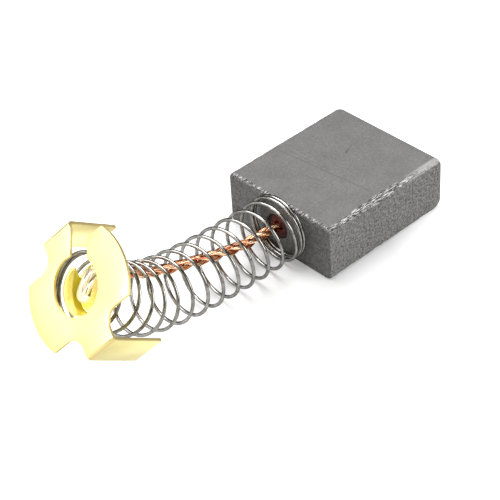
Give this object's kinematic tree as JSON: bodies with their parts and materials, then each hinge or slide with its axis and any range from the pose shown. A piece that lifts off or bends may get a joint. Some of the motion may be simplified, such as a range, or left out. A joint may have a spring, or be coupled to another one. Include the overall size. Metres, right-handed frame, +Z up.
{
  "type": "carbon brush",
  "caption": "Flat carbon motor brush with a coil spring, a stranded copper pigtail and a stamped brass terminal cap with folded tabs.",
  "frame": {"origin": "centre of the block's underside", "axes": "+X along the block's length towards the contact face that runs on the commutator, +Z up, the spring leaves the -X face"},
  "size_m": [0.0592, 0.0198, 0.0227],
  "materials": {
    "carbon": "ground, matt, fine speckle",
    "copper_powder": "tamped, matt, dark red",
    "copper_rope": "bright fine wires",
    "spring_steel": "bright drawn wire",
    "brass_sheet": "bright rolled sheet",
    "solder": "smooth, softly bright"
  },
  "bodies": {
    "brush": {"carbon_block": "carbon", "tamping_plug": "copper_powder", "pigtail": "copper_rope", "compression_spring": "spring_steel"},
    "cap": {"terminal_cap": "brass_sheet", "solder_joint": "solder"}
  },
  "joints": [
    {"name": "cap_slide", "type": "slide", "parent": "brush", "child": "cap", "axis": [1, 0, 0], "range_m": [0, 0.015], "stiffness_N_per_m": 48, "deforming": ["compression_spring", "pigtail"]}
  ]
}
